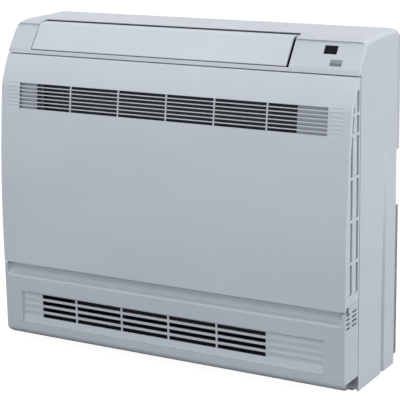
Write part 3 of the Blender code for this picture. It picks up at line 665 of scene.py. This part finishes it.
# Casing: one hood over the head and down both sides
def crease_bend(lip_end, run, steps=6):
    """Rounded corner between the slope and the lip behind it, as profile points."""
    slope = math.dist(SLOPE_BOTTOM, CREASE)
    start = [CREASE[i] + (SLOPE_BOTTOM[i] - CREASE[i]) * run / slope for i in range(2)]
    lip = math.dist(CREASE, lip_end)
    end = [CREASE[i] + (lip_end[i] - CREASE[i]) * run / lip for i in range(2)]
    points = []
    for share in spread(0.0, 1.0, steps):
        points.append(tuple((1 - share) ** 2 * start[i] + 2 * share * (1 - share) * CREASE[i]
                            + share ** 2 * end[i] for i in range(2)))
    return points


def slope_point(rise):
    """Point (d, z) a distance up the slope."""
    length = math.dist(SLOPE_BOTTOM, CREASE)
    return tuple(SLOPE_BOTTOM[i] + (CREASE[i] - SLOPE_BOTTOM[i]) * rise / length for i in range(2))


def head_profile():
    """Profile points (d, z) from the strip's foot over the top to the back edge."""
    points = [STRIP_BOTTOM, STRIP_BULGE, STRIP_TOP, STRIP_ROLL]
    rises = [LABEL_RISE, LABEL_RISE + LABEL_SIZE[1], WINDOW_RISE, WINDOW_RISE + WINDOW_SIZE[1]]
    rises = lines(rises, SLOPE_STOPS, CREASE_SEAM)
    points += [slope_point(rise) for rise in rises]
    points += crease_bend(LIP, COVER_CREASE_RUN)
    points += [LIP_START, LIP, OUTLET_REAR, *TOP_RISE]
    points += [(d, TOP_HEIGHT) for d in SEAM_STATIONS]
    points += TOP_BACK
    points += [(CASING_BACK - stop, TOP_BACK[-1][1]) for stop in BACK_STOPS]
    return points


PROFILE = head_profile()


def chain_normal(points, index):
    """Outward normal (d, z) of a chain of points at one of them."""
    before = points[max(index - 1, 0)]
    after = points[min(index + 1, len(points) - 1)]
    run, rise = after[0] - before[0], after[1] - before[1]
    length = math.hypot(run, rise)
    return (-rise / length, run / length)


def head_corner(d):
    """How far the rounded corner reaches in from the side, and down, at a depth."""
    for (d0, in0, down0), (d1, in1, down1) in zip(CORNERS, CORNERS[1:]):
        if d <= d1:
            share = max(d - d0, 0.0) / (d1 - d0)
            return in0 + (in1 - in0) * share, down0 + (down1 - down0) * share
    return CORNERS[-1][1:]


def back_rounding(d):
    """How far the casing draws in near its rounded back edge."""
    past = min(max(d - (CASING_BACK - BACK_ROUNDING), 0.0), BACK_ROUNDING)
    return BACK_ROUNDING - math.sqrt(BACK_ROUNDING ** 2 - past ** 2)


def seam_inset(d, z):
    """How far the side is set in along its seam: a groove with a steep back wall, shallower upwards."""
    start, deepest, end = SEAM
    if not start < d < end:
        return 0.0
    across = (d - start) / (deepest - start) if d <= deepest else (end - d) / (end - deepest)
    for (z0, step0), (z1, step1) in zip(SEAM_STEPS, SEAM_STEPS[1:]):
        if z <= z1:
            return across * (step0 + (step1 - step0) * (z - z0) / (z1 - z0))
    return 0.0


def casing_point(station, index, depth):
    """Point of the hood on a station across at a profile point."""
    kind, value, side = station
    d, top = PROFILE[index]
    draw = back_rounding(d)
    top -= draw
    half = HALF - draw
    out_d, out_z = chain_normal(PROFILE, index)
    reach, drop = head_corner(d)
    if kind == "top":
        limit = HALF - CORNER_SPAN
        x = value
        if abs(value) > limit:
            x = math.copysign(half - reach, value)
        return (x, d - out_d * depth, top - out_z * depth)
    if kind == "corner":
        angle = math.radians(value)
        x = half - reach + (reach - depth) * math.sin(angle)
        z = top - drop * (1 - math.cos(angle)) - out_z * depth * math.cos(angle)
        return (side * x, d - out_d * depth * math.cos(angle), z)
    z = min(value, top - drop)
    return (side * (half - seam_inset(d, z) - depth), d, z)


def make_casing():
    """Hood with the outlet's opening, the lens and label seats, and the seam down each side."""
    walls = [*spread(0.0, 0.48, 16), 0.50]
    seats = (WINDOW_CENTRE - WINDOW_SIZE[0] / 2, WINDOW_CENTRE + WINDOW_SIZE[0] / 2,
             LABEL_CENTRE - LABEL_SIZE[0] / 2, LABEL_CENTRE + LABEL_SIZE[0] / 2)
    across = lines([-HALF, OUTLET_LEFT, OUTLET_RIGHT, HALF], seats, CASING_STOPS,
                   spread(-0.290, 0.215, 10))
    us = [("wall", z, -1) for z in walls]
    us += [("corner", angle, -1) for angle in reversed(CORNER_ANGLES)]
    us += [("top", x, 0) for x in across]
    us += [("corner", angle, 1) for angle in CORNER_ANGLES]
    us += [("wall", z, 1) for z in reversed(walls)]
    vs = list(range(len(PROFILE)))
    first = PROFILE.index(STRIP_TOP)
    last = PROFILE.index(OUTLET_REAR)
    crease_seam = PROFILE.index(slope_point(CREASE_SEAM[0]))
    window = [PROFILE.index(slope_point(rise)) for rise in (WINDOW_RISE, WINDOW_RISE + WINDOW_SIZE[1])]
    label = [PROFILE.index(slope_point(rise)) for rise in (LABEL_RISE, LABEL_RISE + LABEL_SIZE[1])]

    def cell(i, j):
        """Outer and inner depths of a cell, or None where it is open."""
        start, end = us[i], us[i + 1]
        if start[0] == end[0] == "top":
            x = (start[1] + end[1]) / 2
            if OUTLET_LEFT < x < OUTLET_RIGHT and first <= j < last:
                return None
            if abs(x - WINDOW_CENTRE) < WINDOW_SIZE[0] / 2 and window[0] <= j < window[1]:
                return (LENS_RECESS, CASING_WALL)
            if abs(x - LABEL_CENTRE) < LABEL_SIZE[0] / 2 and label[0] <= j < label[1]:
                return (LABEL_RECESS, CASING_WALL)
            if OUTLET_RIGHT + CREASE_SEAM_START < x and j == crease_seam:
                return (CREASE_SEAM_DEPTH, CASING_WALL)
            if OUTLET_LEFT < x < OUTLET_RIGHT and j in (first - 1, last):
                return (0.0, COVER_EDGE)
        return (0.0, CASING_WALL)

    casing = shell("casing_shell", us, vs, casing_point, cell)
    cut_below_strip(casing)
    soften(casing, 0.0004)
    dress(casing, "cabinet", "side_plastic", CASING, "top_cover", "left_end_cap", "control_panel",
          "fascia_strip", "side_panel_left", "side_panel_right", "rear_side_left", "rear_side_right")


def cut_below_strip(casing):
    """Takes away the hood below the strip, in front of the casing's sides."""
    size = (2.4 * HALF, FRONT_SECTION + 0.05, STRIP_BOTTOM[1] + 0.05)
    centre = (0.0, FRONT_Y + FRONT_SECTION - size[1] / 2, STRIP_BOTTOM[1] - size[2] / 2)
    work = bmesh.new()
    bmesh.ops.create_cube(work, size=1.0, matrix=Matrix.Translation(centre) @ Matrix.Diagonal((*size, 1.0)))
    cutter = as_object("strip_cutter", work)
    boolean = casing.modifiers.new("cut", "BOOLEAN")
    boolean.operation = "DIFFERENCE"
    boolean.solver = "EXACT"
    boolean.object = cutter
    bpy.context.view_layer.update()
    cut = bpy.data.meshes.new_from_object(casing.evaluated_get(bpy.context.evaluated_depsgraph_get()))
    casing.modifiers.clear()
    casing.data = cut
    bpy.data.objects.remove(cutter)


make_casing()


# Flap over the outlet
def make_flap():
    """Blade from the strip up the slope and over the crease, with rounded edges."""
    outer = [FLAP_FOOT, *(slope_point(stop) for stop in FLAP_STOPS)]
    outer += crease_bend(FLAP_LIP, CREASE_RUN) + [FLAP_BEND, FLAP_LIP]
    inner = []
    for index, (d, z) in enumerate(outer):
        out_d, out_z = chain_normal(outer, index)
        inner.append((d - out_d * FLAP_THICKNESS, z - out_z * FLAP_THICKNESS))
    left, right = OUTLET_LEFT + FLAP_GAPS[0], OUTLET_RIGHT - FLAP_GAPS[1]
    flap = prism("flap_blade", outer + inner[::-1], left, right)
    soften(flap, 0.0010, 3)
    dress(flap, "flap", "flap_plastic", FLAP, "flap")


make_flap()


# Lower front with its finger recess
def cove(station, z):
    """Depth of the finger recess at a height, running out at both ends below the pillars' tops."""
    share = 1.0
    if z < PILLAR_LIP - 1e-6:
        share = 0.0
        if station[0] == "front":
            share = min(max((COVE_HALF - abs(station[1])) / COVE_END, 0.0), 1.0)
    return cove_depth(z) * math.sin(math.radians(90 * share)) ** 0.8


def cove_depth(z):
    """Depth of the finger recess away from its ends."""
    if z <= COVE_BOTTOM:
        above = max(z - (COVE_BOTTOM - COVE_EDGE), 0.0)
        return COVE_EDGE - math.sqrt(max(COVE_EDGE ** 2 - above ** 2, 0.0))
    centre = COVE_BOTTOM + COVE_RADIUS
    if z >= centre:
        return COVE_DEPTH
    below = (centre - z) / COVE_RADIUS
    return max(COVE_EDGE, COVE_DEPTH * math.sqrt(max(1 - below ** 2, 0.0)))


def cove_back(station, z):
    """Depth behind the finger recess."""
    return cove(station, z) + LOWER_WALL


LOWER_LINES = ("start", "front_low", "step", "front_high", "rear_low", "rear_high", "back")


def lower_point(station, z, depth):
    """Point of the lower front: flat, with rounded vertical edges and a foot that curls under."""
    kind, value, side = station
    inset, side_inset, radius = 0.0, 0.0, LOWER_EDGE
    if z < CURL_TOP:
        turn = 1 - math.sqrt(max(1 - ((CURL_TOP - z) / CURL_RADIUS) ** 2, 0.0))
        inset = CURL_DEPTH * turn
        side_inset = CURL_SIDE * turn
        radius = LOWER_EDGE + CURL_EDGE * turn
    half = LOWER_HALF - side_inset
    if kind == "front":
        limit = LOWER_HALF - LOWER_EDGE
        x = value
        if abs(value) >= limit - 1e-6:
            x = math.copysign(half - radius, value)
        return (x, inset + depth, z)
    if kind == "corner":
        angle = math.radians(value)
        x = half - radius + (radius - depth) * math.sin(angle)
        return (side * x, inset + radius - (radius - depth) * math.cos(angle), z)
    wanted = {"front_low": VENT_COLUMNS[0][0], "step": VENT_STEP, "front_high": VENT_COLUMNS[0][1],
              "rear_low": VENT_COLUMNS[1][0], "rear_high": VENT_COLUMNS[1][1], "back": LOWER_BACK}
    start = inset + radius
    least = start + LOWER_LINE_STEP * LOWER_LINES.index(value)
    return (side * (half - depth), start if value == "start" else max(wanted[value], least), z)


def make_lower_front():
    """Face, cove and vented cheeks in one moulding, open for the grille."""
    limit = LOWER_HALF - LOWER_EDGE
    pillar = COVE_HALF + PILLAR_GAP
    ends = [sign * (COVE_HALF - COVE_END * share) for sign in (-1, 1) for share in COVE_SHARES]
    gaps = [sign * half for sign in (-1, 1) for half in GAP_HALF]
    fronts = lines([-limit, limit, -pillar, pillar], ends, gaps, WINDOW_X, spread(-0.25, 0.25, 6))
    us = wrap_stations(fronts, EDGE_ANGLES, LOWER_LINES)
    vents = rows(VENT_LOW, VENT_PITCH, VENT_SLOT, VENT_ROWS)
    curl = [CURL_TOP - CURL_RADIUS * math.sin(math.radians(angle)) for angle in (15, 30, 45, 60, 75, 90)]
    coves = [COVE_BOTTOM + COVE_RADIUS * (1 - math.cos(math.radians(angle))) for angle in range(6, 91, 7)]
    coves += [COVE_BOTTOM - COVE_EDGE * (1 - math.sin(math.radians(angle))) for angle in (0, 45, 68)]
    stops = [CURL_TOP, COVE_BOTTOM, PILLAR_LIP, PILLAR_TOP, LEDGE, 0.115, *GAP_LINES]
    vs = lines(curl, stops, WINDOW_Z, flat(vents), coves, least=FINE_STEP)
    above_cheek_foot = min(z for z in vs if z > CURL_TOP - 1e-6)

    def cell(i, j):
        """Outer and inner depths of a cell, or None where it is open."""
        z = (vs[j] + vs[j + 1]) / 2
        start, end = us[i], us[i + 1]
        if start[0] == end[0] == "return":
            if z < above_cheek_foot:
                return None
            names = {start[1], end[1]}
            vented = ({"front_low", "step"}, {"step", "front_high"}, {"rear_low", "rear_high"})
            if names in vented and inside(z, vents):
                return None
            if z > PILLAR_LIP and names in ({"start", "front_low"}, {"front_low", "step"}):
                return None
            return (0.0, LOWER_WALL)
        if start[0] == end[0] == "front":
            x = (start[1] + end[1]) / 2
            if abs(x) > COVE_HALF and z > PILLAR_LIP:
                return (0.0, PILLAR_SHEET) if abs(x) > pillar and z < PILLAR_TOP else None
            if inside(x, [WINDOW_X]) and inside(z, [WINDOW_Z]):
                return None
            if z > GAP_LINES[0] and abs(x) < GAP_HALF[1]:
                within = z > GAP_LINES[1] and abs(x) < GAP_HALF[0]
                return (GAP_DEPTH[0] if within else cove, GAP_DEPTH[1])
            if z > COVE_BOTTOM - COVE_EDGE:
                return (cove if abs(x) < COVE_HALF else 0.0, cove_back)
        elif z > PILLAR_LIP:
            return None if z > PILLAR_TOP else (0.0, PILLAR_SHEET)
        return (0.0, LOWER_WALL)

    lower = shell("lower_front_shell", us, vs, lower_point, cell)
    soften(lower, 0.00035)
    dress(lower, "cabinet", "lower_plastic", LOWER, "lower_front", "lower_cheek_left", "lower_cheek_right")


make_lower_front()


# Lower grille
def ledge_share(z):
    """How far up the sloping ledge a height lies, from 0 to 1."""
    return min(max((z - WINDOW_Z[0]) / (SLOPE_TOP - WINDOW_Z[0]), 0.0), 1.0)


def grille_point(x, z, depth):
    """Point of the recessed plate: a sloping ledge at its foot, then flat."""
    return (x, RECESS * ledge_share(z) + depth, z)


def grille_rim(_, z):
    """Depth of the plate's border, brought forward where the plate is deep."""
    depth = RECESS * ledge_share(z)
    return GRILLE_RIM - depth if depth > GRILLE_RIM else 0.0


def make_lower_grille():
    """Recessed plate with open slots, ribs, blind slots at both ends and a sloping ledge."""
    slots = bays(*LOWER_OPEN, LOWER_RIBS, LOWER_RIB)
    low, high = WINDOW_Z[0] + GRILLE_GAP, WINDOW_Z[1] - GRILLE_GAP
    left, right = WINDOW_X[0] + GRILLE_GAP, WINDOW_X[1] - GRILLE_GAP
    inner_left, inner_right, inner_top = left + GRILLE_BORDER, right - GRILLE_BORDER, high - GRILLE_TOP
    us = lines([left, right, inner_left, inner_right], flat(slots), flat(LOWER_BLIND))
    open_rows = rows(LOWER_LOW - LOWER_SLOT / 2, LOWER_PITCH, LOWER_SLOT, LOWER_ROWS)
    vs = lines([low, low + GRILLE_BORDER, SLOPE_TOP, inner_top, high], flat(open_rows))

    def cell(i, j):
        """Outer and inner depths of a cell, or None where it is open."""
        x = (us[i] + us[i + 1]) / 2
        z = (vs[j] + vs[j + 1]) / 2
        if x < inner_left or x > inner_right or z > inner_top:
            return (grille_rim, GRILLE_PLATE)
        if inside(z, open_rows):
            if inside(x, slots):
                return None
            if inside(x, LOWER_BLIND):
                return (LOWER_BLIND_DEPTH, GRILLE_PLATE)
        return (0.0, GRILLE_PLATE)

    grille = shell("lower_grille_plate", us, vs, grille_point, cell)
    soften(grille, 0.0004)
    dress(grille, "cabinet", "lower_plastic", LOWER, "lower_grille")


make_lower_grille()


# Lens and label on the control panel
def slope_plate(name, centre, size, rise, thickness, radius):
    """Thin plate with rounded corners, flush with the slope."""
    work = bmesh.new()
    length = math.dist(SLOPE_BOTTOM, CREASE)
    along = ((CREASE[0] - SLOPE_BOTTOM[0]) / length, (CREASE[1] - SLOPE_BOTTOM[1]) / length)
    out = (-along[1], along[0])
    loops = []
    for height in (-thickness, 0.0):
        loop = []
        for quarter in range(4):
            cx = (size[0] / 2 - radius) * (1 if quarter in (0, 3) else -1)
            cy = (size[1] / 2 - radius) * (1 if quarter in (0, 1) else -1)
            for step in range(5):
                angle = math.radians(90 * quarter + 22.5 * step)
                x = centre + cx + radius * math.cos(angle)
                up = rise + size[1] / 2 + cy + radius * math.sin(angle)
                d = SLOPE_BOTTOM[0] + up * along[0] + height * out[0]
                z = SLOPE_BOTTOM[1] + up * along[1] + height * out[1]
                loop.append(work.verts.new((x, FRONT_Y + d, z)))
        loops.append(loop)
    work.faces.new(loops[0])
    work.faces.new(loops[1])
    count = len(loops[0])
    for index in range(count):
        following = (index + 1) % count
        work.faces.new((loops[0][index], loops[0][following], loops[1][following], loops[1][index]))
    bmesh.ops.recalc_face_normals(work, faces=work.faces)
    return as_object(name, work)


lens = slope_plate("receiver_lens", WINDOW_CENTRE, LENS_SIZE, WINDOW_RISE + PLATE_GAP, LENS_THICKNESS,
                   LENS_CORNER)
soften(lens, 0.0002)
dress(lens, "cabinet", "receiver_dark", LENS, "receiver_window")
label = slope_plate("indicator_label", LABEL_CENTRE, FILM_SIZE, LABEL_RISE + PLATE_GAP, FILM_THICKNESS,
                    FILM_CORNER)
soften(label, 0.0001)
dress(label, "cabinet", "indicator_grey", LABEL, "indicator_strip")


# Base, between the side walls behind their seams
BASE_OUTLINE = [(0.0535, 0.0005), (0.2065, 0.0005), (0.2065, 0.0030), (0.0535, 0.0030)]
BASE_HALF = 0.3400
plate = prism("base_sheet", BASE_OUTLINE, -BASE_HALF, BASE_HALF)
dress(plate, "cabinet", "plain_steel", BARE_STEEL, "base_plate")


# CAD nodes that keep their shape
KEPT = {
    "back_panel": BARE_STEEL, "hanger_plate_lower": DARK_STEEL, "hanger_plate_upper": PAINTED_STEEL,
    "plinth_front": LOWER, "outlet_front_wall": DUCT, "outlet_rear_wall": DUCT,
    "outlet_end_left": DUCT, "outlet_end_right": DUCT, "guide_vanes": FRAME,
    "front_frame_top": FRAME, "front_frame_bottom": FRAME, "front_frame_left": FRAME,
    "front_frame_right": FRAME, "filter_left": FILTER, "filter_right": FILTER, "heat_exchanger": FINS,
    "drain_pan": FOAM, "lower_duct": DARK, "panel_hinge_left": FRAME, "panel_hinge_right": FRAME,
    "panel_catch_left": FRAME, "panel_catch_right": FRAME,
}
for name, material in KEPT.items():
    node = nodes[name]
    node.data.materials.clear()
    node.data.materials.append(material)


# Floor, world, lamps and camera
FLOOR_SIZE = 12.0
FLOOR_DROP = 0.0002
FLOOR_COLOUR = (0.20, 0.20, 0.20, 1.0)
FLOOR_GLOW = 0.95
AMBIENT_COLOUR = (0.93, 0.96, 1.0, 1.0)
AMBIENT_STRENGTH = 0.44
WHITE = (1.0, 1.0, 1.0, 1.0)
LAMPS = (
    ("overhead_lamp", (0.2, 0.1, 2.8), (0.0, 0.0, 0.4), (2.2, 1.8), 17.0),
    ("right_lamp", (2.6, 0.6, 0.6), (0.2, 0.0, 0.2), (1.6, 1.6), 42.5),
    ("front_lamp", (0.1, -2.5, 0.2), (0.05, 0.0, 0.15), (1.6, 1.4), 21.0),
    ("key_lamp", (-0.6, -1.9, 2.3), (0.0, 0.0, 0.3), (1.4, 1.2), 17.5),
)
CAMERA_PLACE = (1.28134, -2.20366, 0.91579)
CAMERA_LENS = 131.13
CAMERA_SENSOR = 36.0


def make_stage():
    """Pale floor that shows white and keeps the object's shadow."""
    work = bmesh.new()
    bmesh.ops.create_grid(work, x_segments=1, y_segments=1, size=FLOOR_SIZE)
    floor = as_object("studio_floor", work)
    material, tree, shader = new_material("pale_floor")
    shader.inputs["Base Color"].default_value = FLOOR_COLOUR
    shader.inputs["Roughness"].default_value = 0.9
    shader.inputs["Specular IOR Level"].default_value = 0.0
    glow = tree.nodes.new("ShaderNodeEmission")
    glow.inputs["Color"].default_value = WHITE
    path = tree.nodes.new("ShaderNodeLightPath")
    scaled = tree.nodes.new("ShaderNodeMath")
    scaled.operation = "MULTIPLY"
    scaled.inputs[1].default_value = FLOOR_GLOW
    tree.links.new(path.outputs["Is Camera Ray"], scaled.inputs[0])
    tree.links.new(scaled.outputs["Value"], glow.inputs["Strength"])
    both = tree.nodes.new("ShaderNodeAddShader")
    tree.links.new(shader.outputs["BSDF"], both.inputs[0])
    tree.links.new(glow.outputs["Emission"], both.inputs[1])
    tree.links.new(both.outputs["Shader"], tree.nodes["Material Output"].inputs["Surface"])
    floor.data.materials.append(material)
    floor.location.z = -FLOOR_DROP


def make_world():
    """White to the camera and in reflections, a plain grey light otherwise."""
    world = bpy.data.worlds.new("studio")
    bpy.context.scene.world = world
    world.use_nodes = True
    tree = world.node_tree
    ambient = tree.nodes["Background"]
    ambient.inputs["Color"].default_value = AMBIENT_COLOUR
    ambient.inputs["Strength"].default_value = AMBIENT_STRENGTH
    white = tree.nodes.new("ShaderNodeBackground")
    white.inputs["Color"].default_value = WHITE
    white.inputs["Strength"].default_value = 1.0
    path = tree.nodes.new("ShaderNodeLightPath")
    seen = path.outputs["Is Camera Ray"]
    for other in ("Is Glossy Ray", "Is Transmission Ray"):
        either = tree.nodes.new("ShaderNodeMath")
        either.operation = "MAXIMUM"
        tree.links.new(seen, either.inputs[0])
        tree.links.new(path.outputs[other], either.inputs[1])
        seen = either.outputs["Value"]
    mix = tree.nodes.new("ShaderNodeMixShader")
    tree.links.new(seen, mix.inputs["Fac"])
    tree.links.new(ambient.outputs["Background"], mix.inputs[1])
    tree.links.new(white.outputs["Background"], mix.inputs[2])
    tree.links.new(mix.outputs["Shader"], tree.nodes["World Output"].inputs["Surface"])


def softbox(name, place, target, size, power):
    """Rectangular area lamp aimed at a point."""
    lamp = bpy.data.lights.new(name, "AREA")
    lamp.shape = "RECTANGLE"
    lamp.size, lamp.size_y = size
    lamp.energy = power
    piece = bpy.data.objects.new(name, lamp)
    piece.location = place
    aim = Vector(target) - Vector(place)
    piece.rotation_euler = aim.to_track_quat("-Z", "Y").to_euler()
    bpy.context.scene.collection.objects.link(piece)


def make_camera():
    """Camera at the photograph's viewing angle."""
    data = bpy.data.cameras.new("camera")
    data.lens = CAMERA_LENS
    data.sensor_width = CAMERA_SENSOR
    camera = bpy.data.objects.new("camera", data)
    right = Vector((0.86856031, 0.49530533, -0.01660183))
    up = Vector((-0.10510433, 0.21684012, 0.97053255))
    back = Vector((0.48430989, -0.84122113, 0.24039746))
    turn = Matrix((right, up, back)).transposed().to_4x4()
    camera.matrix_world = Matrix.Translation(CAMERA_PLACE) @ turn
    bpy.context.scene.collection.objects.link(camera)
    bpy.context.scene.camera = camera


make_stage()
make_world()
for lamp_values in LAMPS:
    softbox(*lamp_values)
make_camera()
bpy.context.scene.view_settings.view_transform = "Standard"
